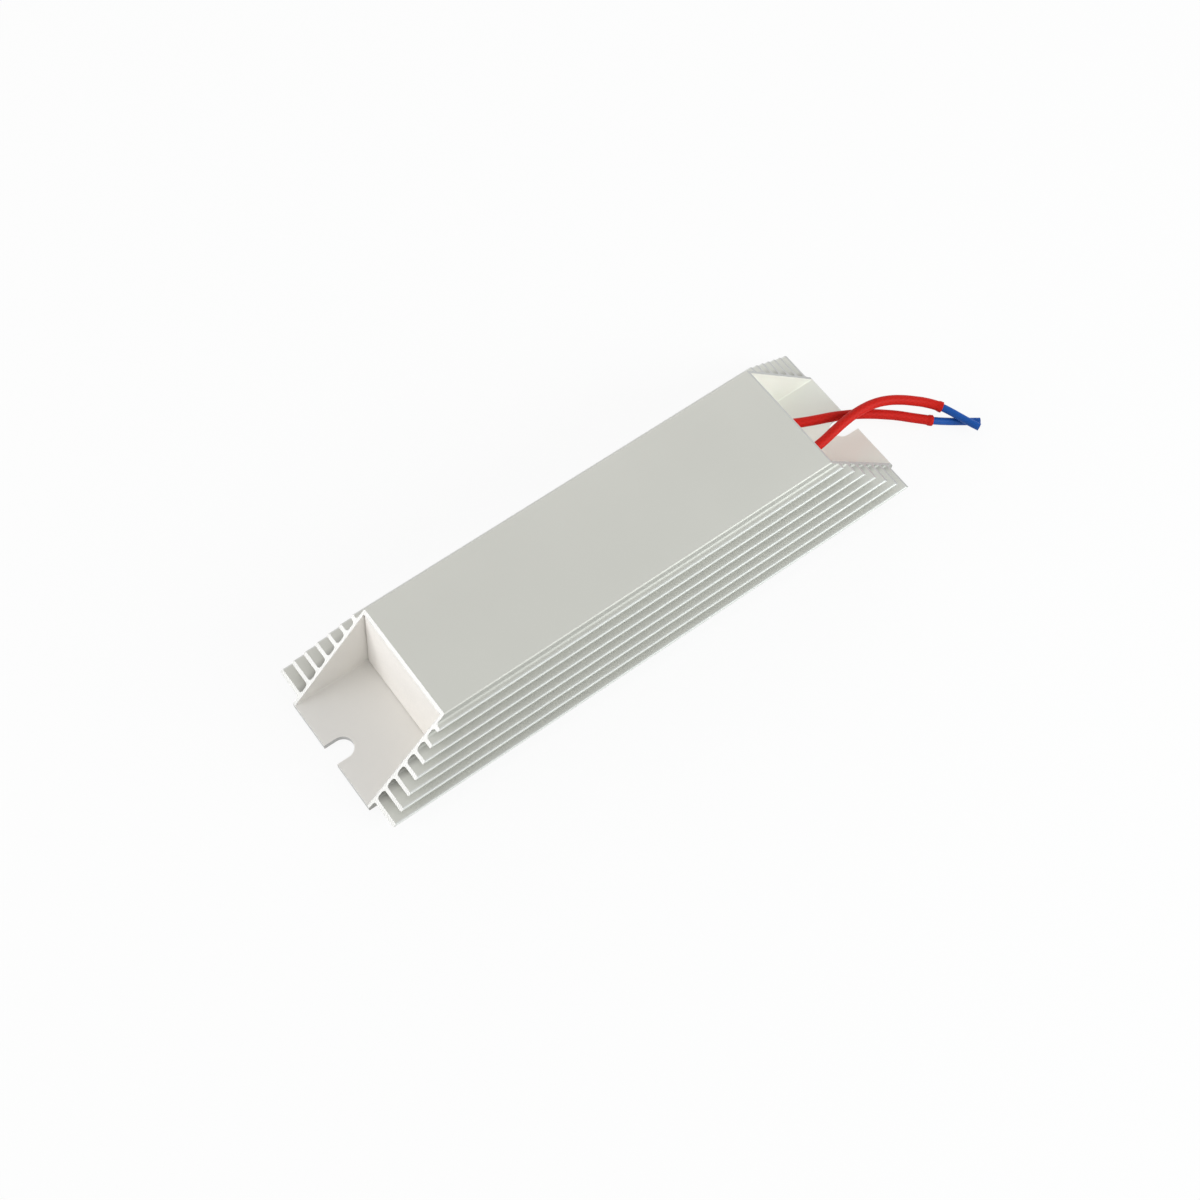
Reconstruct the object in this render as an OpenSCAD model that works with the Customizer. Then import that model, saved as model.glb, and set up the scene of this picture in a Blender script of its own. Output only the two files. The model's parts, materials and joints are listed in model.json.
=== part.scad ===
// Aluminium-housed braking resistor: a finned extrusion sawn at an angle at both ends, so that its
// floor stands out as two slotted feet. Two wound ceramic cores in series lie in cast filler inside,
// and both leads leave at the +X end. The origin is the centre of the base, +X points to the leads.

/* [Housing] */
// Overall length of the extrusion, from foot tip to foot tip
housing_l = 193.2; // [170:0.2:320]
// Overall height of the extrusion
housing_h = 30; // [28:0.5:36]
// Width of the rectangular tube, without its fins
tube_w = 40.4; // [36:0.2:50]
// Thickness of the tube's side walls
wall_t = 1; // [0.8:0.1:2]
// Thickness of the top plate
top_t = 1; // [0.8:0.1:2]
// Thickness of the base plate
base_t = 2; // [1.5:0.1:3]
// Radius of the tube's outer edges
edge_r = 0.5; // [0.2:0.1:0.7]
// Radius of the tube's inner corners
corner_r = 0.8; // [0.4:0.1:1.5]
// Angle of the sawn ends, measured from the base
cut_angle = 45; // [42:1:60]
// Height of the square land left at the tip of each foot
tip_land = 1.9; // [0.5:0.1:2.5]

/* [Fins] */
// Number of fins on each side
fin_count = 7; // [4:1:8]
// Thickness of a fin
fin_t = 1; // [0.7:0.1:1.4]
// How far the lowest fins stand out from the tube
low_fin_reach = 9.8; // [7:0.2:14]
// How far the highest fins stand out from the tube
top_fin_reach = 1.9; // [1.5:0.1:5]
// Height of the lowest fin's upper face above the base
low_fin_z = 5; // [4:0.2:6]
// Drop from the top plate to the highest fin's upper face
top_fin_drop = 3; // [2.4:0.2:5]

/* [Mounting slots] */
// Width of each slot, and the diameter of its round end
slot_w = 7; // [4.5:0.5:8]
// Distance from a foot's tip to the centre of its slot's round end
slot_inset = 4; // [3:0.5:9]

/* [End plates and filler] */
// Thickness of the insulating end plates
plate_t = 2; // [1.5:0.1:3]
// Gap between the end plates and the tube around them
plate_gap = 0.3; // [0.2:0.05:0.4]
// Angle at which the plain end's plate leans out at its foot
plate_lean = 4; // [0:0.5:5]
// Gap around the filler and the parts cast into it
fit_gap = 0.1; // [0.05:0.05:0.2]

/* [Resistance element] */
// Distance between the axes of the two cores
core_spacing = 13; // [12:0.5:16]
// Height of the cores' axes above the base
core_z = 14; // [12:0.5:17]
// Diameter of a core
core_d = 9; // [7:0.5:10]
// Number of turns of ribbon on each core
turns = 26; // [12:1:30]
// Width of the resistance ribbon
ribbon_w = 1.6; // [1:0.1:2]
// Thickness of the resistance ribbon
ribbon_t = 0.4; // [0.2:0.05:0.6]
// Length of the steel caps on the cores' ends
cap_l = 8; // [6:0.5:10]
// Thickness of the caps
cap_t = 0.5; // [0.3:0.1:0.8]
// Distance from a cap's outer face to the end of the ribbon
ribbon_inset = 2; // [1:0.5:3]
// Thickness of the strap that joins the cores at the plain end
link_t = 1; // [0.6:0.1:1.5]
// Width of that strap
link_w = 6; // [4:0.5:7]
// Filler left between the strap and the end plate
link_cover = 2; // [1:0.5:4]

/* [Leads] */
// Diameter of the connecting pins and of the leads' bare conductors
pin_d = 1.2; // [0.8:0.1:1.5]
// Length of pin that is bare between a cap and its crimp barrel
pin_free_l = 3; // [2:0.5:6]
// Outer diameter of the crimp barrels
crimp_d = 3; // [2.6:0.1:3.6]
// Length of the crimp barrels
crimp_l = 10; // [8:0.5:14]
// Length of lead between a crimp barrel and the end plate
lead_tail = 1.7; // [1:0.1:4]
// Diameter of the insulated lead wires
wire_d = 2.4; // [1.8:0.1:2.5]
// Wall of the sleeves over the wires
sleeve_wall = 0.25; // [0.2:0.05:0.4]
// Gap between a wire and its sleeve
sleeve_gap = 0.1; // [0.05:0.05:0.15]

/* [Hidden] */
$fn = 48;
front = -1;
rear = 1;
near = -1;
far = 1;
past = 1;

cavity_w = tube_w - 2 * wall_t;
cavity_h = housing_h - top_t - base_t;
cavity_z = base_t + cavity_h / 2;
fin_pitch = (housing_h - top_fin_drop - low_fin_z) / (fin_count - 1);
fins_w = tube_w + 2 * low_fin_reach;

// The end plates stand where the sawn face meets the underside of the top plate
plate_x = housing_l / 2 - (housing_h - top_t - tip_land) / tan(cut_angle);
board_x = plate_x - plate_t;

core_y = core_spacing / 2;
core_r = core_d / 2;
cap_bore_r = core_r - cap_t;
seat_r = cap_bore_r - fit_gap / 2;
element_start = -board_x + link_cover + link_t;
crimp_end = board_x - lead_tail;
crimp_start = crimp_end - crimp_l;
element_end = crimp_start - pin_free_l;
splice_x = (crimp_start + crimp_end) / 2;

segments = 16;
ribbon_r = (core_r + fit_gap / 2) / cos(180 / segments);
winding_r = ribbon_r + ribbon_t;
winding_start = element_start + ribbon_inset + ribbon_w / 2;
winding_pitch = (element_end - ribbon_inset - ribbon_w / 2 - winding_start) / turns;

wire_r = wire_d / 2;
sleeve_bore_r = wire_r + sleeve_gap;
sleeve_r = sleeve_bore_r + sleeve_wall;
lead_hole_r = sleeve_r + fit_gap;
pocket_r = max(crimp_d / 2, sleeve_r) + fit_gap;
sides = 8;

// Routes of the leads: x counts from the end plate's outer face, y and z are in the part's frame
front_bends = [
  [5, -6.5, 14.2], [9.5, -6.1, 14.3], [14, -5.3, 14.3], [18.5, -4.5, 14.1], [23, -3.9, 13.7],
  [27.5, -3.7, 13.1], [32, -4, 12.3], [36.5, -5, 11.1], [40.5, -6.6, 9.8], [44.5, -8.7, 8.2],
  [48, -11, 6.8], [51.4, -14.5, 5.5], [53.1, -17.4, 4.8], [54.5, -20.3, 4.2], [55.9, -23.3, 3.7],
  [57.3, -26.1, 3.3]
];
rear_bends = [
  [4.5, 5.3, 13.7], [9, 3.5, 13.1], [13.5, 1.9, 12.4], [18, 0.5, 11.6], [22, -0.9, 10.7],
  [26, -2.5, 9.7], [30, -4.4, 8.6], [34, -6.5, 7.3], [38, -8.9, 6], [41.5, -11.4, 4.8],
  [44.5, -13.6, 3.9], [47, -15.4, 3.1], [51, -17.9, 2.1], [55.4, -20.7, 1.5], [59.9, -23.8, 1.35]
];
sleeved_bends = 12;

aluminium = "#c6c7c1";
board_white = "#efece4";
cement_grey = "#b9b4a8";
ceramic_white = "#e2ddd0";
alloy_grey = "#85827c";
cap_steel = "#a9abad";
tinned_copper = "#b8b2a4";
copper = "#b8733c";
wire_blue = "#205aa6";
sleeve_red = "#d0281f";

function unit(v) = v / norm(v);

// Route of a lead: straight out of its crimp barrel, then along its bends
function lead_route(side) = concat(
  [[crimp_end, side * core_y, core_z], [plate_x, side * core_y, core_z]],
  [for (p = side == front ? front_bends : rear_bends) p + [plate_x, 0, 0]]
);
function first_points(route, count) = [for (i = [0:count - 1]) route[i]];

// Direction of a route at its point i
function heading(route, i) = unit(route[min(i + 1, len(route) - 1)] - route[max(i - 1, 0)]);

// Ring of points of radius r around a route's point i
function ring(route, i, r) =
  let (along = heading(route, i), across = unit(cross([0, 0, 1], along)), up = cross(along, across))
  [for (k = [0:sides - 1]) route[i] + r * (cos(360 * k / sides) * across + sin(360 * k / sides) * up)];

// Faces between neighbouring rings, where each ring of count points starts at its multiple of step
function skin(rings, step, offset, count) = [
  for (i = [0:rings - 2]) for (k = [0:count - 1])
    let (a = i * step + offset + k, b = i * step + offset + (k + 1) % count)
    each [[a, b, b + step], [a, b + step, a + step]]
];
function turned(faces) = [for (f = faces) [f[2], f[1], f[0]]];

// Rectangle with round corners, centred
module rounded_rect(w, h, r) {
  square([w - 2 * r, h], center = true);
  square([w, h - 2 * r], center = true);
  for (x = [-1, 1], y = [-1, 1]) translate([x * (w / 2 - r), y * (h / 2 - r)]) circle(r);
}

// Extrude a section drawn in Y and Z along X
module along_x(x_from, x_to) {
  translate([x_from, 0, 0]) rotate([90, 0, 90]) linear_extrude(x_to - x_from) children();
}

// Round bar or bore along X at a core's axis
module bar(side, r, x_from, x_to) {
  translate([x_from, side * core_y, core_z]) rotate([0, 90, 0]) cylinder(r = r, h = x_to - x_from);
}

// One pair of fins, from round tip to round tip through the tube
module fin_pair(level) {
  reach = low_fin_reach + (top_fin_reach - low_fin_reach) * level / (fin_count - 1);
  tip_y = tube_w / 2 + reach - fin_t / 2;
  translate([0, low_fin_z - fin_t / 2 + level * fin_pitch]) {
    square([2 * tip_y, fin_t], center = true);
    for (y = [-1, 1]) translate([y * tip_y, 0]) circle(d = fin_t);
  }
}

module housing_section() {
  difference() {
    union() {
      translate([0, housing_h / 2]) rounded_rect(tube_w, housing_h, edge_r);
      for (level = [0:fin_count - 1]) fin_pair(level);
    }
    translate([0, cavity_z]) rounded_rect(cavity_w, cavity_h, corner_r);
  }
}

// What the saw takes off the +X end, above the foot
module saw_cut() {
  top_z = housing_h + past;
  top_x = housing_l / 2 - (top_z - tip_land) / tan(cut_angle);
  rotate([90, 0, 0]) linear_extrude(fins_w + 2 * past, center = true)
    polygon([[housing_l / 2, tip_land], [housing_l / 2 + past, tip_land], [housing_l / 2 + past, top_z], [top_x, top_z]]);
}

// Open slot through the foot at the +X end
module foot_slot() {
  slot_x = housing_l / 2 - slot_inset;
  translate([slot_x, 0, -past]) {
    cylinder(d = slot_w, h = base_t + 2 * past);
    translate([0, -slot_w / 2, 0]) cube([slot_inset + past, slot_w, base_t + 2 * past]);
  }
}

module housing() {
  color(aluminium) difference() {
    along_x(-housing_l / 2, housing_l / 2) housing_section();
    for (end = [0, 1]) mirror([end, 0, 0]) {
      saw_cut();
      foot_slot();
    }
  }
}

// Block that fills the tube from x_from to x_to, but for a gap all round
module cavity_block(x_from, x_to, gap) {
  along_x(x_from, x_to) translate([0, cavity_z])
    rounded_rect(cavity_w - 2 * gap, cavity_h - 2 * gap, corner_r);
}

// Plate at the plain end, turned about its upper outer edge and cut to the height that is left
module end_plate_closed() {
  plate_h = (cavity_h - 2 * plate_gap - plate_t * sin(plate_lean)) / cos(plate_lean);
  color(board_white) translate([-plate_x, 0, housing_h - top_t - plate_gap]) rotate([0, plate_lean, 0])
    along_x(0, plate_t) translate([0, -plate_h / 2]) rounded_rect(cavity_w - 2 * plate_gap, plate_h, corner_r);
}

module end_plate_leads() {
  color(board_white) difference() {
    cavity_block(board_x, plate_x, plate_gap);
    for (side = [front, rear]) bar(side, lead_hole_r, board_x - past, plate_x + past);
  }
}

module filler() {
  color(cement_grey) difference() {
    cavity_block(-board_x, board_x, fit_gap);
    for (side = [front, rear]) {
      bar(side, winding_r + fit_gap, element_start, element_end);
      bar(side, pocket_r, element_end - past, board_x + past);
    }
    link_bar(fit_gap);
  }
}

module core(side) {
  color(ceramic_white) {
    bar(side, core_r, element_start + cap_l, element_end - cap_l);
    bar(side, seat_r, element_start + cap_t, element_end - cap_t);
  }
}

// Cup pressed on one end of a core, flush with the core's own surface
module cap(side, end) {
  x_from = end == near ? element_start : element_end - cap_l;
  bore_from = end == near ? x_from + cap_t : x_from - past;
  bore_to = end == near ? x_from + cap_l + past : element_end - cap_t;
  color(cap_steel) difference() {
    bar(side, core_r, x_from, x_from + cap_l);
    bar(side, cap_bore_r, bore_from, bore_to);
  }
}

// Flat ribbon wound round a core, its first and last turns on the caps
module winding(side) {
  rings = turns * segments;
  corners = [
    for (i = [0:rings]) let (a = 360 * i / segments, x = winding_start + winding_pitch * i / segments)
      each [
        for (c = [[0, -1], [1, -1], [1, 1], [0, 1]]) let (r = ribbon_r + c[0] * ribbon_t)
          [x + c[1] * ribbon_w / 2, side * core_y + r * cos(a), core_z + r * sin(a)]
      ]
  ];
  last = rings * 4;
  ends = [[0, 1, 2], [0, 2, 3], [last + 2, last + 1, last], [last + 3, last + 2, last]];
  color(alloy_grey) polyhedron(corners, concat(skin(rings + 1, 4, 0, 4), ends));
}

// Strap with round ends across the caps at the plain end, grown by a margin
module link_bar(margin) {
  along_x(element_start - link_t - margin, element_start) translate([0, core_z]) {
    square([core_spacing, link_w + 2 * margin], center = true);
    for (side = [front, rear]) translate([side * core_y, 0]) circle(d = link_w + 2 * margin);
  }
}

module link_strap() {
  color(cap_steel) link_bar(0);
}

module pigtail(side) {
  color(tinned_copper) bar(side, pin_d / 2, element_end, splice_x);
}

module conductor(side) {
  color(copper) bar(side, pin_d / 2, splice_x, crimp_end);
}

module crimp(side) {
  color(tinned_copper) difference() {
    bar(side, crimp_d / 2, crimp_start, crimp_end);
    bar(side, (pin_d + fit_gap) / 2, crimp_start - past, crimp_end + past);
  }
}

module lead_wire(side) {
  route = lead_route(side);
  count = len(route);
  corners = [for (i = [0:count - 1]) each ring(route, i, wire_r)];
  start = [for (k = [0:sides - 1]) k];
  finish = [for (k = [sides - 1:-1:0]) (count - 1) * sides + k];
  color(wire_blue) polyhedron(corners, concat(turned(skin(count, sides, 0, sides)), [start, finish]));
}

module lead_sleeve(side) {
  route = first_points(lead_route(side), sleeved_bends + 2);
  count = len(route);
  step = 2 * sides;
  corners = [for (i = [0:count - 1]) each concat(ring(route, i, sleeve_r), ring(route, i, sleeve_bore_r))];
  rim = [
    for (k = [0:sides - 1]) let (a = k, b = (k + 1) % sides)
      each [[a, b, b + sides], [a, b + sides, a + sides]]
  ];
  last_rim = [for (f = rim) f + [1, 1, 1] * (count - 1) * step];
  outside = turned(skin(count, step, 0, sides));
  inside = skin(count, step, sides, sides);
  color(sleeve_red) polyhedron(corners, concat(outside, inside, rim, turned(last_rim)));
}

housing();
end_plate_closed();
end_plate_leads();
filler();
core(front);  // core_front
core(rear);  // core_rear
winding(front);  // winding_front
winding(rear);  // winding_rear
cap(front, near);  // cap_front_near
cap(front, far);  // cap_front_far
cap(rear, near);  // cap_rear_near
cap(rear, far);  // cap_rear_far
link_strap();
pigtail(front);  // pigtail_front
pigtail(rear);  // pigtail_rear
crimp(front);  // crimp_front
crimp(rear);  // crimp_rear
conductor(front);  // conductor_front
conductor(rear);  // conductor_rear
lead_wire(front);  // lead_wire_front
lead_wire(rear);  // lead_wire_rear
lead_sleeve(front);  // lead_sleeve_front
lead_sleeve(rear);  // lead_sleeve_rear
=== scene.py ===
# %% [markdown]
# # A braking resistor, dressed around its CAD solids
#
# The object is a length of finned aluminium extrusion with both ends sawn at an angle. Two wound
# ceramic rods sit inside it in cement, and two sleeved leads come out of one end. The CAD model gives
# every piece its place. This lesson rebuilds the pieces that show with softer edges and real finishes,
# and paints the pieces that stay as they are.

# %% Load the CAD frame
import json
import math

import bmesh
import bpy
from mathutils import Matrix, Quaternion, Vector

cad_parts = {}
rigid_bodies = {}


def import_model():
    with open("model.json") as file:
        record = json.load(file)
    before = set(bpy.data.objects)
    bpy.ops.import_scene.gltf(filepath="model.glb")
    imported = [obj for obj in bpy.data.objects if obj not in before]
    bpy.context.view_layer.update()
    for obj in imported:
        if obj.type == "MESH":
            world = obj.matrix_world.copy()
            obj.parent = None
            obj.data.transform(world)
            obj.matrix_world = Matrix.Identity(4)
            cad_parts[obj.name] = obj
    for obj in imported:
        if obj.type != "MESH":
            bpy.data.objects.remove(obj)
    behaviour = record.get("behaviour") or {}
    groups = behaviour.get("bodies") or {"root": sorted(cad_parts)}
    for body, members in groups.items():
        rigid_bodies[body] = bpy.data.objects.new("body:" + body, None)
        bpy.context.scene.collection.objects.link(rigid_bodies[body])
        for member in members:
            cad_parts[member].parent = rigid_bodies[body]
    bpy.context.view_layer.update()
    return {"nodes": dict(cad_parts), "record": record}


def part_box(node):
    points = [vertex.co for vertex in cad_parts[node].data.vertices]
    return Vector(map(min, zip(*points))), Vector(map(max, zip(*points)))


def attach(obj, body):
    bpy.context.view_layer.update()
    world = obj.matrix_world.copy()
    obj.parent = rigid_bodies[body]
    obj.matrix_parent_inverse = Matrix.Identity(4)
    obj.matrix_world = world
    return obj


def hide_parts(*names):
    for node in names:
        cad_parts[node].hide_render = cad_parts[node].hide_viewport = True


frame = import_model()
scene = bpy.context.scene
MM = 0.001
HAIR, FLUSH = 1e-6, 1e-7  # in metres: closer than this counts as the same place
print("CAD nodes:", len(frame["nodes"]))

# %% [markdown]
# ## The camera
#
# The picture looks steeply down from the plain end, over the corner of the foot. A camera is placed by
# where it stands and which way its back points. Blender cameras look along their own -Z, so the
# direction that points back from the object becomes the camera's +Z. A hair of roll levels the picture.

# %% Place the camera
azimuth, elevation, roll = math.radians(-36.46), math.radians(62.31), math.radians(0.32)
away = Vector((
    math.sin(azimuth) * math.cos(elevation),
    -math.cos(azimuth) * math.cos(elevation),
    math.sin(elevation),
))
camera = bpy.data.objects.new("camera", bpy.data.cameras.new("camera"))
camera.data.sensor_width = 36
camera.data.lens = 60.42
camera.data.clip_start = 0.01
camera.location = Vector((-170.5, -229.7, 534.5)) * MM
camera.rotation_mode = "QUATERNION"
camera.rotation_quaternion = away.to_track_quat("Z", "Y") @ Quaternion((0, 0, 1), roll)
scene.collection.objects.link(camera)
scene.camera = camera
print("camera stands", round(camera.location.length, 3), "m from the origin")

# %% [markdown]
# ## The leads
#
# Each lead is a blue insulated wire in a red sleeve that stops short of its end. They leave the end
# board straight, sag towards the foot, cross each other and hang out over its edge. A curve with a round
# bevel is the natural way to make a wire, because its own line is the route. The route repeats the
# points of the CAD solid, with x counted from the outer face of the end board.

# %% Routes of the two leads
board_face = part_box("end_plate_leads")[1].x
bends = {
    "front": [
        (5, -6.5, 14.2), (9.5, -6.1, 14.3), (14, -5.3, 14.3), (18.5, -4.5, 14.1), (23, -3.9, 13.7),
        (27.5, -3.7, 13.1), (32, -4, 12.3), (36.5, -5, 11.1), (40.5, -6.6, 9.8), (44.5, -8.7, 8.2),
        (48, -11, 6.8), (51.4, -14.5, 5.5), (53.1, -17.4, 4.8), (54.5, -20.3, 4.2), (55.9, -23.3, 3.7),
        (57.3, -26.1, 3.3),
    ],
    "rear": [
        (4.5, 5.3, 13.7), (9, 3.5, 13.1), (13.5, 1.9, 12.4), (18, 0.5, 11.6), (22, -0.9, 10.7),
        (26, -2.5, 9.7), (30, -4.4, 8.6), (34, -6.5, 7.3), (38, -8.9, 6), (41.5, -11.4, 4.8),
        (44.5, -13.6, 3.9), (47, -15.4, 3.1), (51, -17.9, 2.1), (55.4, -20.7, 1.5), (59.9, -23.8, 1.35),
    ],
}
routes = {}
for side in bends:
    barrel_low, barrel_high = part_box("crimp_" + side)
    middle = (barrel_low + barrel_high) / 2
    start = [Vector((x, middle.y, middle.z)) for x in (barrel_high.x, board_face)]
    routes[side] = start + [Vector((board_face + x * MM, y * MM, z * MM)) for x, y, z in bends[side]]


def route_length(points):
    """Length of a route, from point to point."""
    return sum((b - a).length for a, b in zip(points, points[1:]))


for side, points in routes.items():
    print(side, "lead:", len(points), "points,", round(route_length(points) / MM, 1), "mm")

# %% Draw the wires
wire_radius = 1.2 * MM


def lead_curve(name, points, radius):
    """A round curve through a route, smooth because every handle is automatic."""
    curve = bpy.data.curves.new(name, "CURVE")
    curve.dimensions = "3D"
    curve.bevel_depth = 1
    curve.bevel_resolution = 6
    curve.resolution_u = 6
    spline = curve.splines.new("BEZIER")
    spline.bezier_points.add(len(points) - 1)
    for knot, place in zip(spline.bezier_points, points):
        knot.co = place
        knot.radius = radius
        knot.handle_left_type = knot.handle_right_type = "AUTO"
    piece = bpy.data.objects.new(name, curve)
    scene.collection.objects.link(piece)
    return piece


wires = {}
for side, points in routes.items():
    wires[side] = lead_curve(side + "_lead", points, wire_radius)
    wires[side].data.use_fill_caps = True
    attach(wires[side], "root")
    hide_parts("lead_wire_" + side)
    print(wires[side].name, "runs to", [round(v / MM, 1) for v in points[-1]], "mm")

# %% [markdown]
# ## The sleeves
#
# A sleeve is the same line drawn thicker and stopped early, which a curve does with its bevel factor. It
# has to be a real tube, though, because its cut end shows the wall. So the curve is turned into a mesh,
# its last ring is opened a little, as a knife leaves it, and solidify gives it a wall.

# %% Helpers for meshes
def as_mesh(piece):
    """Replace a curve or a modified object by its finished mesh."""
    shown = piece.evaluated_get(bpy.context.evaluated_depsgraph_get())
    mesh = bpy.data.meshes.new_from_object(shown)
    name = piece.name
    bpy.data.objects.remove(piece)
    mesh.name = name
    finished = bpy.data.objects.new(name, mesh)
    scene.collection.objects.link(finished)
    return finished


def add_object(name, bm):
    """Turn a bmesh into an object in the scene."""
    mesh = bpy.data.meshes.new(name)
    bm.to_mesh(mesh)
    bm.free()
    piece = bpy.data.objects.new(name, mesh)
    scene.collection.objects.link(piece)
    return piece


def shade(piece, degrees):
    """Shade a piece smooth, except across corners sharper than an angle."""
    piece.data.shade_smooth()
    piece.data.set_sharp_from_angle(angle=math.radians(degrees))


print("mesh helpers ready")

# %% Make the sleeves
sleeved_bends = 12
sleeve_radius = 1.55 * MM
sleeve_wall = 0.25 * MM
lip_length, lip_flare = 1.2 * MM, 1.13
near_end = 3 * sleeve_radius

sleeves = {}
for side, points in routes.items():
    covered = points[: sleeved_bends + 2]
    drawn = lead_curve(side + "_sleeve", points, sleeve_radius)
    drawn.data.bevel_factor_mapping_end = "SPLINE"
    drawn.data.bevel_factor_end = route_length(covered) / route_length(points)
    sleeve = as_mesh(drawn)
    bm = bmesh.new()
    bm.from_mesh(sleeve.data)
    bmesh.ops.remove_doubles(bm, verts=bm.verts[:], dist=HAIR)
    bmesh.ops.recalc_face_normals(bm, faces=bm.faces[:])
    end, heading = covered[-1], (covered[-1] - covered[-2]).normalized()
    for vertex in bm.verts:
        before_end = (end - vertex.co).dot(heading)
        if before_end < lip_length and (vertex.co - end).length < near_end:
            centre = end - heading * before_end
            vertex.co = centre + (vertex.co - centre) * lip_flare
    bmesh.ops.solidify(bm, geom=bm.faces[:], thickness=sleeve_wall)
    bm.to_mesh(sleeve.data)
    bm.free()
    shade(sleeve, 40)
    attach(sleeve, "root")
    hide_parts("lead_sleeve_" + side)
    sleeves[side] = sleeve
    print(sleeve.name, len(sleeve.data.polygons), "faces")

# %% [markdown]
# ## The cut ends of the wires
#
# A wire that was cut with pliers shows its copper: here a core of seven strands, level with the blue
# insulation. One strand is a short cylinder with a bevelled rim, and six copies stand round it.

# %% Make the strand ends
strand_radius, strand_length = 0.2 * MM, 0.6 * MM
strand_proud, strand_rim = 0.06 * MM, 0.05 * MM
strand_ring = 2.02 * strand_radius
outer_strands = 6

strands = {}
for side, points in routes.items():
    bm = bmesh.new()
    for number in range(outer_strands + 1):
        turn = Matrix.Rotation(number * 2 * math.pi / outer_strands, 4, "Z")
        out = strand_ring if number < outer_strands else 0
        bmesh.ops.create_cone(
            bm, cap_ends=True, segments=12, radius1=strand_radius, radius2=strand_radius,
            depth=strand_length, matrix=turn @ Matrix.Translation((out, 0, 0)),
        )
    rims = [e for e in bm.edges if all(v.co.z > 0 for v in e.verts)]
    bmesh.ops.bevel(
        bm, geom=rims, offset=strand_rim, segments=2, profile=0.5, affect="EDGES", material=-1,
    )
    heading = (points[-1] - points[-2]).normalized()
    place = points[-1] + heading * (strand_proud - strand_length / 2)
    bm.transform(Matrix.Translation(place) @ heading.to_track_quat("Z", "Y").to_matrix().to_4x4())
    strands[side] = add_object(side + "_strands", bm)
    shade(strands[side], 40)
    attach(strands[side], "root")
    print(strands[side].name, len(strands[side].data.polygons), "faces")

for side, points in routes.items():
    print(wires[side].name, "is a cord of", round(route_length(points), 4), "m")

# %% [markdown]
# ## The housing's section
#
# An extrusion is one section pushed through a die, so the section is drawn first. Half of it is enough.
# The pencil is a single vertex: extruding it leaves a straight line behind, and spinning it about a
# centre leaves a round corner. The walk goes along the base, up the side with its fins, over the
# top, and back down the inside of the tube.

# %% A pencil for sections
def walk(bm, tip, *place):
    """Extrude the line's last vertex to a new place."""
    step = bmesh.ops.extrude_vert_indiv(bm, verts=[tip])["verts"][0]
    step.co = place
    return step


def turn_corner(bm, tip, centre, axis, degrees, steps):
    """Spin the line's last vertex about a centre."""
    swept = bmesh.ops.spin(
        bm, geom=[tip], cent=centre, axis=axis, angle=math.radians(degrees), steps=steps,
    )
    return next(v for v in swept["geom_last"] if isinstance(v, bmesh.types.BMVert))


def close_face(bm, first, last):
    """Join the ends of a line and fill it with one face."""
    bmesh.ops.contextual_create(bm, geom=[first, last])
    return bmesh.ops.contextual_create(bm, geom=bm.edges[:])["faces"][0]


print("pencil ready")

# %% Sizes of the section
tube_half, housing_height = 20.2 * MM, 30 * MM
wall, top_wall, base_wall = 1.0 * MM, 1.0 * MM, 2.0 * MM
edge_radius, inside_radius = 0.5 * MM, 0.15 * MM
fin_count, fin_thickness = 7, 1.0 * MM
fin_tip_radius, fin_root_radius = 0.25 * MM, 0.8 * MM
low_reach, top_reach = 9.8 * MM, 1.9 * MM
low_fin_top, top_fin_drop = 5.0 * MM, 3.0 * MM
housing_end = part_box("housing")[1].x
fin_pitch = (housing_height - top_fin_drop - low_fin_top) / (fin_count - 1)
edge_y, edge_top = tube_half - edge_radius, housing_height - edge_radius
inner_y, ceiling = tube_half - wall, housing_height - top_wall
inside_y = inner_y - inside_radius

print("fins stand", round(fin_pitch / MM, 3), "mm apart")

# %% Walk round half of the section
x, along = -housing_end, (1, 0, 0)
housing_bm = bmesh.new()
first = housing_bm.verts.new((x, 0, 0))
pen = walk(housing_bm, first, x, edge_y, 0)
pen = turn_corner(housing_bm, pen, (x, edge_y, edge_radius), along, 90, 4)
for level in range(fin_count):
    fin_top = low_fin_top + level * fin_pitch
    fin_foot = fin_top - fin_thickness
    root_y = tube_half + fin_root_radius
    tip_y = tube_half + low_reach + (top_reach - low_reach) * level / (fin_count - 1)
    round_y = tip_y - fin_tip_radius
    pen = walk(housing_bm, pen, x, tube_half, fin_foot - fin_root_radius)
    pen = turn_corner(housing_bm, pen, (x, root_y, fin_foot - fin_root_radius), along, -90, 3)
    pen = walk(housing_bm, pen, x, round_y, fin_foot)
    pen = turn_corner(housing_bm, pen, (x, round_y, fin_foot + fin_tip_radius), along, 90, 3)
    pen = walk(housing_bm, pen, x, tip_y, fin_top - fin_tip_radius)
    pen = turn_corner(housing_bm, pen, (x, round_y, fin_top - fin_tip_radius), along, 90, 3)
    pen = walk(housing_bm, pen, x, root_y, fin_top)
    pen = turn_corner(housing_bm, pen, (x, root_y, fin_top + fin_root_radius), along, -90, 3)
pen = walk(housing_bm, pen, x, tube_half, edge_top)
pen = turn_corner(housing_bm, pen, (x, edge_y, edge_top), along, 90, 4)
pen = walk(housing_bm, pen, x, 0, housing_height)
pen = walk(housing_bm, pen, x, 0, ceiling)
pen = walk(housing_bm, pen, x, inside_y, ceiling)
pen = turn_corner(housing_bm, pen, (x, inside_y, ceiling - inside_radius), along, -90, 4)
pen = walk(housing_bm, pen, x, inner_y, base_wall + inside_radius)
pen = turn_corner(housing_bm, pen, (x, inside_y, base_wall + inside_radius), along, -90, 4)
pen = walk(housing_bm, pen, x, 0, base_wall)
section = close_face(housing_bm, first, pen)
print("half section:", len(section.verts), "corners,", round(section.calc_area() / MM**2, 1), "mm2")

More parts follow.
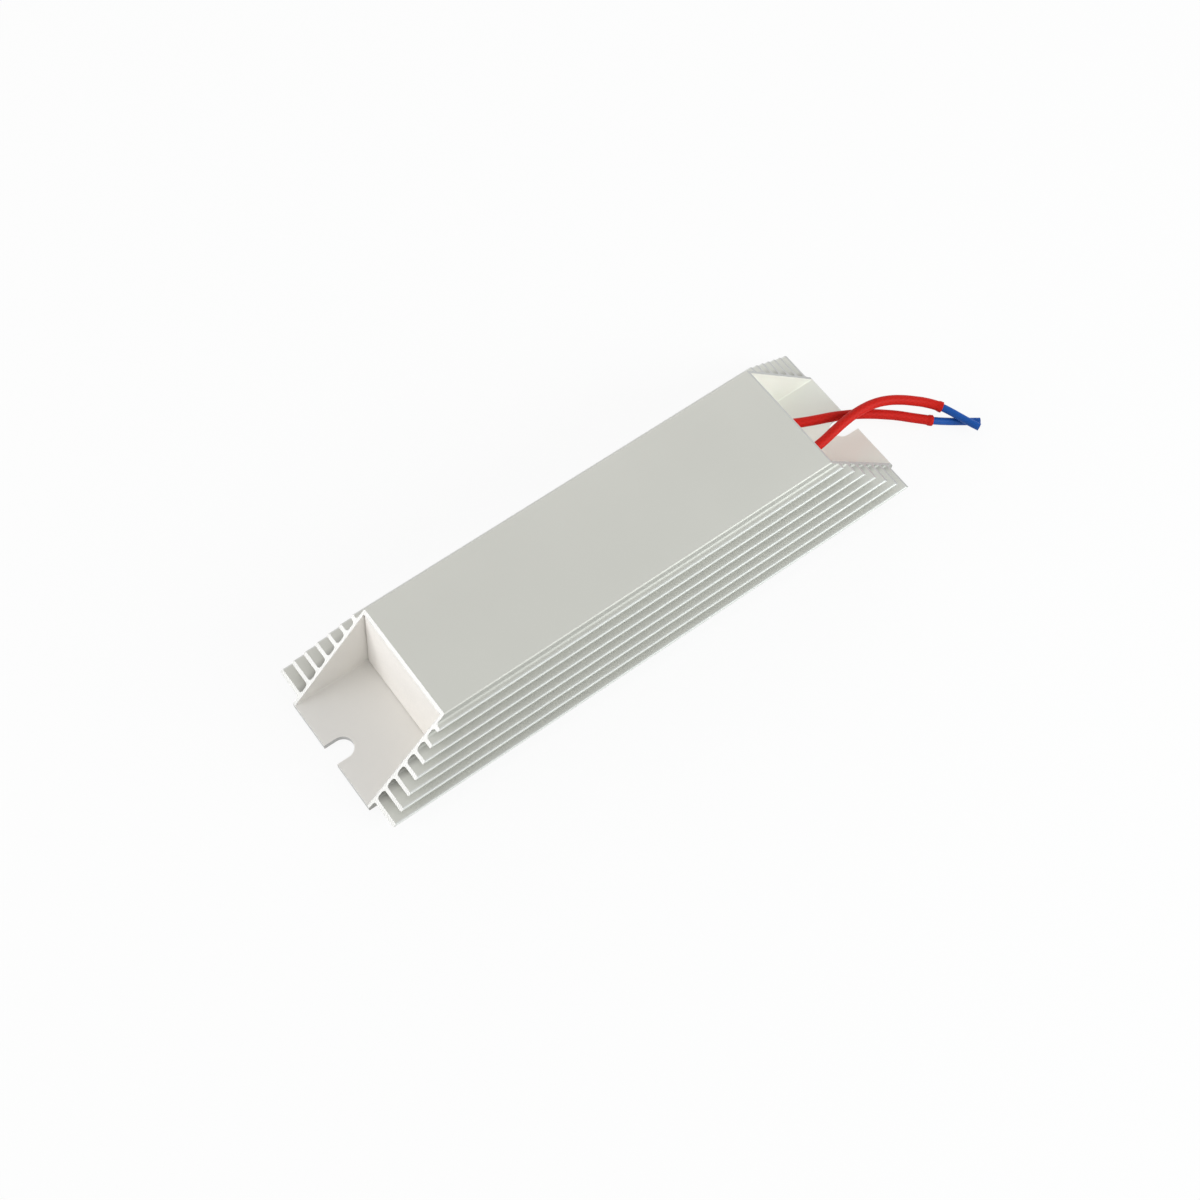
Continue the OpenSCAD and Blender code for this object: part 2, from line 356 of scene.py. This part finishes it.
# %% [markdown]
# ## Saw the ends
#
# The section is pushed along the length, and each end is cut off with a slanted plane, as the saw does.
# Bisect opens the body there, so the rim is filled again. The filled faces get the second material, for
# bare sawn metal, and the walls of the tube get the third. Then the half is mirrored into the whole.

# %% Push and saw
SKIN, SAWN, BORE = 0, 1, 2
saw_angle = math.radians(45)
tip_land = 1.9 * MM


def all_of(bm):
    """Everything in a bmesh."""
    return bm.verts[:] + bm.edges[:] + bm.faces[:]


def push(bm, face, way):
    """Extrude a face along a way."""
    pushed = bmesh.ops.extrude_face_region(bm, geom=[face])["geom"]
    moved = [v for v in pushed if isinstance(v, bmesh.types.BMVert)]
    bmesh.ops.translate(bm, vec=way, verts=moved)


push(housing_bm, section, (2 * housing_end, 0, 0))
for end in (-1, 1):
    cut = bmesh.ops.bisect_plane(
        housing_bm, geom=all_of(housing_bm), dist=FLUSH, plane_co=(end * housing_end, 0, tip_land),
        plane_no=(end * math.sin(saw_angle), 0, math.cos(saw_angle)), clear_outer=True,
    )
    rim = [e for e in cut["geom_cut"] if isinstance(e, bmesh.types.BMEdge)]
    for face in bmesh.ops.edgeloop_fill(housing_bm, edges=rim)["faces"]:
        face.material_index = SAWN
print("sawn half:", len(housing_bm.faces), "faces")

# %% Sort the faces and mirror
for face in housing_bm.faces:
    middle = face.calc_center_median()
    in_tube = abs(middle.y) < inner_y + HAIR and base_wall - HAIR < middle.z < ceiling + HAIR
    if all(abs(abs(v.co.x) - housing_end) < HAIR for v in face.verts):
        face.material_index = SAWN
    elif face.material_index == SKIN and in_tube:
        face.material_index = BORE
seam = [f for f in housing_bm.faces if all(abs(v.co.y) < FLUSH for v in f.verts)]
bmesh.ops.delete(housing_bm, geom=seam, context="FACES")
bmesh.ops.mirror(
    housing_bm, geom=all_of(housing_bm), matrix=Matrix.Identity(4), merge_dist=HAIR, axis="Y",
)
bmesh.ops.recalc_face_normals(housing_bm, faces=housing_bm.faces[:])
print("sawn body:", round(housing_bm.calc_volume() / MM**3), "mm3,", len(housing_bm.faces), "faces")

# %% [markdown]
# ## Mill the slots
#
# Each foot has an open slot for its screw. A cutter with a round nose is drawn with the same pencil and
# taken away with a boolean, and the walls that it leaves count as bare metal too.

# %% Cut the slots
slot_half, slot_inset = 3.5 * MM, 4 * MM
overshoot = 4 * MM
nose, mouth = housing_end - slot_inset, housing_end + overshoot


def material_named(name):
    """A material, made when it is first asked for."""
    return bpy.data.materials.get(name) or bpy.data.materials.new(name)


def take_away(piece, tool, label):
    """Cut a tool's shape out of a piece, and put the tool away."""
    cut = piece.modifiers.new(label, "BOOLEAN")
    cut.solver = "EXACT"
    cut.object = tool
    piece = as_mesh(piece)
    bpy.data.objects.remove(tool)
    return piece


housing = add_object("finned_housing", housing_bm)
cutter_bm = bmesh.new()
first = cutter_bm.verts.new((mouth, -slot_half, -overshoot))
pen = walk(cutter_bm, first, nose, -slot_half, -overshoot)
pen = turn_corner(cutter_bm, pen, (nose, 0, -overshoot), (0, 0, 1), -180, 24)
pen = walk(cutter_bm, pen, mouth, slot_half, -overshoot)
push(cutter_bm, close_face(cutter_bm, first, pen), (0, 0, base_wall + 2 * overshoot))
bmesh.ops.mirror(
    cutter_bm, geom=all_of(cutter_bm), matrix=Matrix.Identity(4), merge_dist=0, axis="X",
)
bmesh.ops.recalc_face_normals(cutter_bm, faces=cutter_bm.faces[:])
for face in cutter_bm.faces:
    face.material_index = SAWN
cutter = add_object("slot_cutter", cutter_bm)
for name in ("skin", "sawn", "bore"):
    housing.data.materials.append(material_named(name))
    cutter.data.materials.append(material_named(name))
housing = take_away(housing, cutter, "Slots")
print(housing.name, "has", sum(p.material_index == SAWN for p in housing.data.polygons), "bare faces")

# %% [markdown]
# ## Break the sawn edges
#
# No sawn edge is razor sharp: a file or a tumbler has broken it. A very small bevel does that, and it
# catches the light. Only convex edges beside bare metal are chosen. Smooth shading is kept for the round
# tips and broken at every real corner. It is broken along the bevels too: otherwise they would tilt the
# normals of the wide faces beside them, and a band of light would cross a flat floor.

# %% Bevel and shade the housing
broken_edge = 0.06 * MM
flat_angle, sharp_angle, crease_angle = (math.radians(a) for a in (0.05, 40, 35))

bm = bmesh.new()
bm.from_mesh(housing.data)
bmesh.ops.remove_doubles(bm, verts=bm.verts[:], dist=FLUSH)
bmesh.ops.dissolve_limit(
    bm, angle_limit=flat_angle, verts=bm.verts[:], edges=bm.edges[:], delimit={"MATERIAL"},
)
sharp = [
    e for e in bm.edges
    if e.is_manifold and e.is_convex and e.calc_face_angle() > sharp_angle
    and any(f.material_index == SAWN for f in e.link_faces)
]
strips = set(bmesh.ops.bevel(
    bm, geom=sharp, offset=broken_edge, segments=2, profile=0.5, affect="EDGES", material=-1,
    clamp_overlap=True,
)["faces"])
for edge in bm.edges:
    beside_strip = sum(face in strips for face in edge.link_faces) == 1
    edge.smooth = not beside_strip and edge.calc_face_angle(0) < crease_angle
for face in bm.faces:
    face.smooth = True
print("closed:", all(e.is_manifold for e in bm.edges), "volume:", round(bm.calc_volume() / MM**3), "mm3")
bm.to_mesh(housing.data)
bm.free()
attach(housing, "root")
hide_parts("housing")
print(housing.name, len(housing.data.polygons), "faces after", len(sharp), "edges were broken")

# %% [markdown]
# ## The end boards
#
# White insulating boards close the tube at both ends. Each is cut from sheet with its corners rounded to
# fit the tube, and the lead end has two drilled holes. A cube is scaled to the sheet's size, its short
# edges are rounded, and then every rim is softened. The board at the plain end was pushed in a little
# askew: it is made upright and then tipped about its upper outer edge, so that its foot stands out.

# %% Cut the end boards
board_thickness, corner_radius = 2 * MM, 0.8 * MM
lean = math.radians(4)
hole_radius, drill_length = 1.65 * MM, 8 * MM


def board_blank(low, high):
    """A sheet with rounded corners between two places."""
    bm = bmesh.new()
    size = Matrix.Diagonal((*(high - low), 1))
    bmesh.ops.create_cube(bm, size=1, matrix=Matrix.Translation((low + high) / 2) @ size)
    corners = [e for e in bm.edges if abs(e.verts[0].co.x - e.verts[1].co.x) > HAIR]
    bmesh.ops.bevel(
        bm, geom=corners, offset=corner_radius, segments=5, profile=0.5, affect="EDGES", material=-1,
    )
    return bm


low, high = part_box("end_plate_closed")
tall = (high.z - low.z - board_thickness * math.sin(lean)) / math.cos(lean)
hinge = Vector((low.x + tall * math.sin(lean), 0, high.z))
upright = board_blank(
    Vector((hinge.x, low.y, hinge.z - tall)), Vector((hinge.x + board_thickness, high.y, hinge.z)),
)
tip_over = Matrix.Rotation(lean, 4, "Y")
upright.transform(Matrix.Translation(hinge) @ tip_over @ Matrix.Translation(-hinge))
closed_board = add_object("closed_end_board", upright)

lead_board = add_object("lead_end_board", board_blank(*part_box("end_plate_leads")))
drill_bm = bmesh.new()
for points in routes.values():
    bmesh.ops.create_cone(
        drill_bm, cap_ends=True, segments=32, radius1=hole_radius, radius2=hole_radius,
        depth=drill_length, matrix=Matrix.Translation(points[1]) @ Matrix.Rotation(math.pi / 2, 4, "Y"),
    )
lead_board = take_away(lead_board, add_object("drill", drill_bm), "Lead holes")
print("boards cut:", closed_board.name, lead_board.name)

# %% Soften the end boards
board_edge, rim_angle = 0.35 * MM, math.radians(60)

for piece, node in ((closed_board, "end_plate_closed"), (lead_board, "end_plate_leads")):
    bm = bmesh.new()
    bm.from_mesh(piece.data)
    rims = [e for e in bm.edges if e.is_manifold and e.calc_face_angle() > rim_angle]
    bmesh.ops.bevel(
        bm, geom=rims, offset=board_edge, segments=2, profile=0.5, affect="EDGES", material=-1,
    )
    bm.to_mesh(piece.data)
    bm.free()
    shade(piece, 35)
    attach(piece, "root")
    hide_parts(node)
    print(piece.name, len(piece.data.polygons), "faces")

# %% [markdown]
# ## Tools for the finishes
#
# Every finish is a Principled shader fed by patterns that sit in the object's own coordinates, so nothing
# has to be unwrapped and nothing slides. Wiring nodes by hand takes many lines, and small helpers keep
# each finish readable: for any node, for a sum, for a range that is stretched to another, for a colour
# made lighter or darker, for a mix of two colours, and for the start and the end of a material.

# %% Helpers for shader nodes
def add_node(tree, kind, inputs=None, **options):
    """Add a node, set its options, then set or wire its inputs by name or number."""
    node = tree.nodes.new(kind)
    for option, value in options.items():
        setattr(node, option, value)
    for socket, value in (inputs or {}).items():
        if isinstance(value, bpy.types.NodeSocket):
            tree.links.new(value, node.inputs[socket])
        else:
            node.inputs[socket].default_value = value
    return node


def sum_of(tree, operation, *values):
    """A Math node's result."""
    return add_node(tree, "ShaderNodeMath", dict(enumerate(values)), operation=operation).outputs[0]


def between(tree, value, low, high, from_low=0.0, from_high=1.0):
    """A value stretched from one range to another, and kept inside it."""
    ranges = {"Value": value, "From Min": from_low, "From Max": from_high, "To Min": low, "To Max": high}
    return add_node(tree, "ShaderNodeMapRange", ranges).outputs["Result"]


def split_of(tree, vector):
    """A vector's X, Y and Z."""
    return add_node(tree, "ShaderNodeSeparateXYZ", {0: vector}).outputs


def scaled(tree, colour, share):
    """A colour made lighter or darker."""
    inputs = {0: colour, "Scale": share}
    return add_node(tree, "ShaderNodeVectorMath", inputs, operation="SCALE").outputs[0]


def mixed(tree, share, first, second):
    """A colour between two others."""
    inputs = {"Factor": share, 6: first, 7: second}
    return add_node(tree, "ShaderNodeMix", inputs, data_type="RGBA").outputs[2]


print("node helpers ready")

# %% Helpers for materials
def start_finish(name, **constants):
    """A material's node tree, its shader and the Object coordinates that its patterns read."""
    material = material_named(name)
    material.use_nodes = True
    tree = material.node_tree
    shader = tree.nodes["Principled BSDF"]
    for socket, value in constants.items():
        label = socket.replace("_", " ").title().replace("Ior", "IOR")
        shader.inputs[label].default_value = value
    return material, tree, shader, add_node(tree, "ShaderNodeTexCoord").outputs["Object"]


def end_finish(tree, shader, colour, roughness=None, height=None, depth=0.0):
    """Wire a shader: its colour, its gloss, and a pattern that raises it as deep as given in metres."""
    tree.links.new(colour, shader.inputs["Base Color"])
    if roughness is not None:
        tree.links.new(roughness, shader.inputs["Roughness"])
    if height is not None:
        bump = add_node(tree, "ShaderNodeBump", {"Height": height, "Distance": depth, "Strength": 1})
        tree.links.new(bump.outputs["Normal"], shader.inputs["Normal"])


print("material helpers ready")

# %% [markdown]
# ## Three shared patterns
#
# No large surface has one even tone, drawn metal carries fine lines along its length, and every surface
# has a grain that breaks up its gloss. These effects return in nearly every finish, so each is a node
# group, built once and placed with its own values: clouds that drift a colour lighter and darker, lines
# stretched along X as the die leaves them, and a fine grain.

# %% Build the node groups
stretch = (0.004, 1, 1)


def new_group(name, inputs, outputs):
    """An empty node group with named sockets, what comes into it and what goes out."""
    group = bpy.data.node_groups.new(name, "ShaderNodeTree")
    for direction, sockets in (("INPUT", inputs), ("OUTPUT", outputs)):
        for label, kind in sockets.items():
            group.interface.new_socket(label, in_out=direction, socket_type="NodeSocket" + kind)
    return group, add_node(group, "NodeGroupInput").outputs, add_node(group, "NodeGroupOutput").inputs


def noise(tree, vector, scale, detail, **more):
    """Soft noise, a given number of clouds to the metre."""
    inputs = {"Vector": vector, "Scale": scale, "Detail": detail, **more}
    return add_node(tree, "ShaderNodeTexNoise", inputs).outputs["Fac"]


tone_drift, given, result = new_group(
    "Tone drift",
    {"Vector": "Vector", "Color": "Color", "Scale": "Float", "Amount": "Float"}, {"Color": "Color"},
)
clouds = noise(tone_drift, given["Vector"], given["Scale"], 3)
swing = sum_of(tone_drift, "SUBTRACT", clouds, 0.5)
swing = sum_of(tone_drift, "MULTIPLY", swing, given["Amount"])
swing = sum_of(tone_drift, "MULTIPLY_ADD", swing, 2.0, 1.0)
tone_drift.links.new(scaled(tone_drift, given["Color"], swing), result["Color"])

drawn_lines, given, result = new_group(
    "Drawn lines", {"Vector": "Vector", "Fineness": "Float"}, {"Lines": "Float"},
)
stretched = add_node(
    drawn_lines, "ShaderNodeVectorMath", {0: given["Vector"], 1: stretch}, operation="MULTIPLY",
).outputs[0]
streaks = noise(drawn_lines, stretched, given["Fineness"], 4, Roughness=0.6)
drawn_lines.links.new(streaks, result["Lines"])

fine_grain, given, result = new_group(
    "Fine grain", {"Vector": "Vector", "Scale": "Float"}, {"Grain": "Float"},
)
specks = noise(fine_grain, given["Vector"], given["Scale"], 5, Roughness=0.7)
fine_grain.links.new(specks, result["Grain"])
print("node groups:", [g.name for g in bpy.data.node_groups])

# %% Place the node groups
def drift_of(tree, place, colour, scale, amount):
    """The drifting tone of a colour."""
    inputs = {"Vector": place, "Color": colour, "Scale": scale, "Amount": amount}
    return add_node(tree, "ShaderNodeGroup", inputs, node_tree=tone_drift).outputs["Color"]


def lines_of(tree, place, fineness):
    """Drawn lines, a given number to the metre."""
    inputs = {"Vector": place, "Fineness": fineness}
    return add_node(tree, "ShaderNodeGroup", inputs, node_tree=drawn_lines).outputs["Lines"]


def grain_of(tree, place, scale):
    """A fine grain, a given number of specks to the metre."""
    inputs = {"Vector": place, "Scale": scale}
    return add_node(tree, "ShaderNodeGroup", inputs, node_tree=fine_grain).outputs["Grain"]


def gloss(tree, pattern, low, high):
    """Roughness between two values, where a noise pattern is low and where it is high."""
    return between(tree, pattern, low, high, 0.3, 0.7)


print("pattern helpers ready")

# %% [markdown]
# ## The housing's skin
#
# The extrusion is etched and anodised to a pale matte grey, and die lines still show along its length.
# The tips of the fins, which everything else touches first, are rubbed bright. The colour is darkened
# towards the fin roots, deep under the tips and on the side wall: this is painted shade where the fins
# shade the metal. The masks come from distances, to the slanted plane on which all the tips lie, to the
# side wall and to the top, so no texture has to be drawn.

# %% Measure the skin
skin, tree, shader, place = start_finish("skin", metallic=0.35)
split = split_of(tree, place)
across = sum_of(tree, "ABSOLUTE", split["Y"])
slant = (low_reach - top_reach) / (fin_pitch * (fin_count - 1))
tip_plane = tube_half + low_reach + slant * (low_fin_top - fin_thickness / 2)
outward = sum_of(tree, "MULTIPLY_ADD", split["Z"], slant, across)
under_tips = sum_of(tree, "SUBTRACT", tip_plane, outward)
depth = sum_of(tree, "SUBTRACT", across, tube_half)
print("tips lie", round(tip_plane / MM, 2), "mm out, and slant by", round(slant, 3))

# %% Finish the skin
deepest_shade, wall_shade = 0.58, 0.7
root_shade_reach, gap_shade_depth = 2.4 * MM, 5 * MM
etched, rubbed_bright = (0.62, 0.617, 0.571, 1), (0.72, 0.73, 0.71, 1)

grain = grain_of(tree, place, 6000)
lines = lines_of(tree, place, 2200)
tips = between(tree, outward, 0, 1, tip_plane - 0.45 * MM, tip_plane - 0.15 * MM)
rubbed = sum_of(tree, "MULTIPLY", tips, between(tree, lines, 0.6, 1, 0.35, 0.6))
# Painted shade: darker towards the fin roots, deep under the tips and on the side wall; the top edge and
# the plates keep the full tone.
painted_root_shade = between(tree, depth, deepest_shade, 1, -0.02 * MM, root_shade_reach)
painted_gap_shade = between(tree, under_tips, 1, deepest_shade, top_reach, gap_shade_depth)
painted_wall_shade = between(tree, depth, wall_shade, 1, 0.02 * MM, 0.4 * MM)
top_edge = between(tree, split["Z"], 0, 1, housing_height - 0.6 * MM, housing_height - 0.4 * MM)
plates = between(tree, depth, 1, 0, -0.04 * MM, -0.02 * MM)
painted_shade = sum_of(tree, "MINIMUM", sum_of(tree, "MAXIMUM", painted_root_shade, painted_gap_shade), painted_wall_shade)
painted_shade = sum_of(tree, "MAXIMUM", painted_shade, sum_of(tree, "MAXIMUM", top_edge, plates))
shaded_matte = scaled(tree, drift_of(tree, place, etched, 30, 0.03), painted_shade)
end_finish(
    tree, shader, mixed(tree, rubbed, shaded_matte, rubbed_bright), gloss(tree, grain, 0.5, 0.56),
    sum_of(tree, "MULTIPLY_ADD", grain, 0.1, lines), 0.8e-6,
)
print(skin.name, "has", len(tree.nodes), "nodes")

# %% [markdown]
# ## Bare metal at the saw cuts
#
# The saw leaves bright bare metal with shallow arcs, because its blade is round. Rings about a point far
# to one side cross both cuts as such arcs. The inside of the tube was never sawn or rubbed: it keeps the
# dull, slightly warm tone of the mill, with lines along its length. The lead end's tone is a trace
# greener, to balance the red light that the sleeves throw on it.

# %% Finish the saw cuts and the inside
blade_centre = (0, 0.16, 0)
mill_tone, lead_end_tone = (0.85, 0.833, 0.797, 1), (0.825, 0.838, 0.775, 1)
blend_half = 10 * MM

sawn, tree, shader, place = start_finish("sawn", metallic=0.5)
beside_blade = add_node(tree, "ShaderNodeMapping", {"Vector": place, "Location": blade_centre}).outputs[0]
arcs = add_node(
    tree, "ShaderNodeTexWave",
    {"Vector": beside_blade, "Scale": 500, "Distortion": 3, "Detail": 2, "Detail Scale": 1},
    wave_type="RINGS", rings_direction="SPHERICAL",
).outputs["Fac"]
tone = drift_of(tree, place, (0.46, 0.46, 0.448, 1), 200, 0.04)
end_finish(tree, shader, tone, between(tree, arcs, 0.36, 0.46), arcs, 4e-6)

bore, tree, shader, place = start_finish("bore", metallic=0.3)
lines = lines_of(tree, place, 4000)
leadwards = between(tree, split_of(tree, place)["X"], 0, 1, -blend_half, blend_half)
tone = drift_of(tree, place, mixed(tree, leadwards, mill_tone, lead_end_tone), 60, 0.01)
end_finish(tree, shader, tone, gloss(tree, lines, 0.44, 0.48), lines, 0.6e-6)
print("bare metal:", sawn.name, bore.name)

# %% [markdown]
# ## The insulating board
#
# The end boards are pressed from short white fibres. Up close their faces are mottled, a little warm, and
# slightly felted. A drift of tone makes them mottled, and a fine grain flecks and felts them.

# %% Finish the boards
board, tree, shader, place = start_finish("board", roughness=0.8)
fibres = grain_of(tree, place, 1400)
mottled = drift_of(tree, place, (0.845, 0.815, 0.775, 1), 110, 0.03)
flecked = scaled(tree, mottled, between(tree, fibres, 0.96, 1.02, 0.3, 0.65))
end_finish(tree, shader, flecked, height=fibres, depth=1.2e-5)
for piece in (closed_board, lead_board):
    piece.data.materials.append(board)
print("board on", closed_board.name, "and", lead_board.name)

# %% [markdown]
# ## Finishes of the leads
#
# The sleeve is braided glass yarn under a red coating, so its surface is a soft criss-cross of yarns that
# follows the tube. A curve gives its mesh a UV map that runs along and around it, which is just what
# two crossing sets of waves need. The blue insulation is smooth plastic with a faint drift and fine
# scuffs, and the strands are bare copper, a little dulled.

# %% Finish the sleeves
yarns_along, yarns_around = 30, 8

red, tree, shader, place = start_finish("red", specular_ior_level=0.1)
split = split_of(tree, add_node(tree, "ShaderNodeTexCoord").outputs["UV"])
crossing = []
for hand in (1, -1):
    turn = sum_of(tree, "MULTIPLY", split["Y"], hand * yarns_around)
    phase = sum_of(tree, "MULTIPLY_ADD", split["X"], yarns_along, turn)
    crossing.append(sum_of(tree, "SINE", sum_of(tree, "MULTIPLY", phase, 2 * math.pi)))
braid = between(tree, sum_of(tree, "MAXIMUM", *crossing), 0, 1, -0.4, 1)
coat = drift_of(tree, place, (0.55, 0.014, 0.009, 1), 150, 0.12)
worn = scaled(tree, coat, between(tree, braid, 0.9, 1.04))
end_finish(tree, shader, worn, gloss(tree, grain_of(tree, place, 5000), 0.42, 0.62), braid, 1.5e-5)
for sleeve in sleeves.values():
    sleeve.data.materials.append(red)
print("sleeves finished:", red.name)

# %% Finish the wires and strands
blue, tree, shader, place = start_finish("blue", specular_ior_level=0.25)
scuffs = grain_of(tree, place, 2500)
tone = drift_of(tree, place, (0.005, 0.075, 0.34, 1), 180, 0.1)
end_finish(tree, shader, tone, gloss(tree, scuffs, 0.35, 0.55), scuffs, 5e-6)

copper, tree, shader, place = start_finish("copper", metallic=1)
tarnish = grain_of(tree, place, 4000)
tone = drift_of(tree, place, (0.62, 0.27, 0.12, 1), 900, 0.15)
end_finish(tree, shader, tone, gloss(tree, tarnish, 0.28, 0.48), tarnish, 3e-6)
for side in routes:
    wires[side].data.materials.append(blue)
    strands[side].data.materials.append(copper)
print("wires and strands finished:", blue.name, copper.name)

# %% [markdown]
# ## What lies inside
#
# Nothing of the element shows from outside, but a part may be opened or cut, so the CAD pieces inside
# keep their shapes and get finishes of their own: sandy cement with pores, speckled ceramic, a ribbon
# tinted by heat, drawn steel caps, and tinned copper.

# %% Finish the cement and the ceramic
cement, tree, shader, place = start_finish("cement", roughness=0.9)
pores = add_node(tree, "ShaderNodeTexVoronoi", {"Vector": place, "Scale": 900}).outputs["Distance"]
sand = grain_of(tree, place, 1600)
pitted = between(tree, pores, 0.55, 1, 0.05, 0.3)
tone = scaled(tree, drift_of(tree, place, (0.48, 0.45, 0.39, 1), 70, 0.12), pitted)
end_finish(tree, shader, tone, height=sum_of(tree, "ADD", pitted, sand), depth=6e-5)

ceramic, tree, shader, place = start_finish("ceramic", roughness=0.6)
speckle = grain_of(tree, place, 3000)
fired = drift_of(tree, place, (0.76, 0.72, 0.63, 1), 120, 0.05)
tone = scaled(tree, fired, between(tree, speckle, 0.88, 1.03, 0.32, 0.5))
end_finish(tree, shader, tone, height=speckle, depth=8e-6)
print("mineral finishes:", cement.name, ceramic.name)

# %% Finish the metal inside
ribbon, tree, shader, place = start_finish("ribbon", metallic=0.9)
heat = between(tree, noise(tree, place, 60, 2), 0, 1, 0.4, 0.65)
tint = mixed(tree, heat, (0.24, 0.235, 0.22, 1), (0.30, 0.23, 0.16, 1))
end_finish(tree, shader, tint, gloss(tree, grain_of(tree, place, 5000), 0.35, 0.55))

steel, tree, shader, place = start_finish("steel", metallic=1)
lines = lines_of(tree, place, 3000)
tone = drift_of(tree, place, (0.50, 0.51, 0.52, 1), 250, 0.06)
end_finish(tree, shader, tone, gloss(tree, lines, 0.25, 0.45), lines, 3e-6)

tin, tree, shader, place = start_finish("tin", metallic=1)
dull = grain_of(tree, place, 3500)
tone = drift_of(tree, place, (0.60, 0.58, 0.54, 1), 400, 0.08)
end_finish(tree, shader, tone, gloss(tree, dull, 0.3, 0.5), dull, 3e-6)
print("metal finishes:", ribbon.name, steel.name, tin.name)

# %% Dress the pieces inside
inside = {
    "cement": cement, "core_ceramic": ceramic, "resistance_alloy": ribbon, "cap_steel": steel,
    "tinned_copper": tin, "copper": copper,
}
dressed = [row for row in frame["record"]["subparts"] if row["material_slot"] in inside]
for row in dressed:
    frame["nodes"][row["node"]].material_slots[0].material = inside[row["material_slot"]]
print("pieces inside that were dressed:", len(dressed))

# %% [markdown]
# ## Light
#
# The picture is a product shot in a white tent: even light from everywhere, a cool lamp low at the right
# that shines in between the fins and into the lead end, one low beyond the plain end that whitens its
# sawn rim, and a weak one at the back. The tent is the world, white at the horizon and a little greyer
# overhead, so that the flat top keeps a tone. The camera and whatever mirrors the tent see all of it.
# Other surfaces get a smaller share as plain light, so a colour renders about as it is written.

# %% Put up the tent
overhead = 0.75
ambient_share = 0.65
white = (1, 1, 1, 1)
scene.view_settings.view_transform = "Standard"


def seen_by_eye(tree):
    """1 for rays of the camera, of a mirror or through glass, and 0 for the light that bounces."""
    rays = add_node(tree, "ShaderNodeLightPath").outputs
    total = sum_of(tree, "MAXIMUM", rays["Is Camera Ray"], rays["Is Glossy Ray"])
    return sum_of(tree, "MAXIMUM", total, rays["Is Transmission Ray"])


world = bpy.data.worlds.new("studio")
scene.world = world
world.use_nodes = True
tree = world.node_tree
direction = add_node(tree, "ShaderNodeTexCoord").outputs["Generated"]
tent = between(tree, split_of(tree, direction)["Z"], 1, overhead, 0.4, 0.85)
share = sum_of(tree, "MAXIMUM", seen_by_eye(tree), ambient_share)
tent_node = tree.nodes["Background"]
tent_node.inputs["Color"].default_value = white
tree.links.new(sum_of(tree, "MULTIPLY", tent, share), tent_node.inputs["Strength"])
print("tent up:", world.name)

# %% Set up the lamps
lamp_size = 0.6


def softbox(name, place, power, tint=(1, 1, 1)):
    """A round lamp that looks at the object."""
    lamp = bpy.data.objects.new(name, bpy.data.lights.new(name, "AREA"))
    lamp.data.shape = "DISK"
    lamp.data.size = lamp_size
    lamp.data.energy = power
    lamp.data.color = tint
    lamp.location = place
    lamp.rotation_euler = (-lamp.location).to_track_quat("-Z", "Y").to_euler()
    scene.collection.objects.link(lamp)
    print(name, "lamp:", power, "W at", round(lamp.location.length, 2), "m")


softbox("right", (0.60, -0.71, 0.375), 6.8, tint=(0.93, 1, 1))
softbox("left", (-0.88, 0.32, 0.34), 4.1)
softbox("back", (0.47, 0.81, 0.34), 1.35)

# %% [markdown]
# ## The floor
#
# The object lies on white paper. Seen directly the paper is nearly pure white, and only a small share of
# it is left to take a real shadow, so that the object stands on something. For the light that bounces up
# between the fins it is ordinary paper.

# %% Lay the floor
paper_size, glow_share = 4, 0.9

floor_bm = bmesh.new()
bmesh.ops.create_grid(floor_bm, x_segments=1, y_segments=1, size=paper_size)
floor = add_object("floor", floor_bm)
paper, tree, shader, place = start_finish("paper", roughness=0.9)
end_finish(tree, shader, drift_of(tree, place, (0.86, 0.86, 0.855, 1), 4, 0.01))
glow = add_node(tree, "ShaderNodeEmission", {"Color": white, "Strength": 1}).outputs[0]
seen_white = sum_of(tree, "MULTIPLY", seen_by_eye(tree), glow_share)
surface = add_node(tree, "ShaderNodeMixShader", {"Fac": seen_white, 1: shader.outputs[0], 2: glow})
tree.links.new(surface.outputs[0], tree.nodes["Material Output"].inputs["Surface"])
floor.data.materials.append(paper)
print("floor laid")
